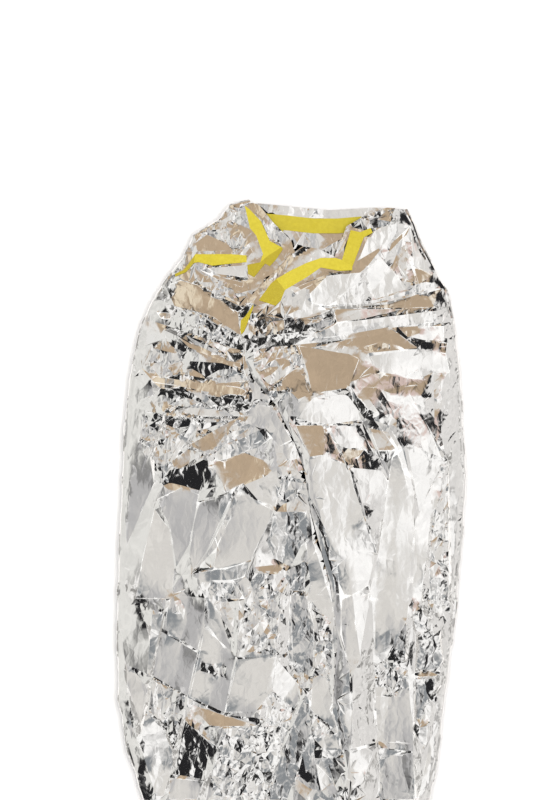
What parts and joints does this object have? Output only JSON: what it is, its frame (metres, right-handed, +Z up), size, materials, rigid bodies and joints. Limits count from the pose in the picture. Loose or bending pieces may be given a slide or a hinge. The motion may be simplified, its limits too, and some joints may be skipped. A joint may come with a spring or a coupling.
{
  "type": "folded emergency sleeping bag",
  "caption": "Crumpled metallised film sleeping bag, sides folded over the front, lower half folded under, yellow tape at the mouth.",
  "frame": {"origin": "under the middle of the bag's plan, on the surface that it lies on", "axes": "+X to the bag's right as seen from above, +Y from the crosswise fold to the mouth, +Z up from the surface"},
  "size_m": [0.5124, 1.0084, 0.0596],
  "materials": {
    "film": "crumpled mirror-bright metallised film",
    "tape": "satin yellow film tape"
  },
  "bodies": {
    "root": {"foil_bag": "film", "mouth_tape_left": "tape", "mouth_tape_shoulder": "tape", "mouth_tape_right": "tape", "mouth_tape_back": "tape"}
  },
  "joints": []
}
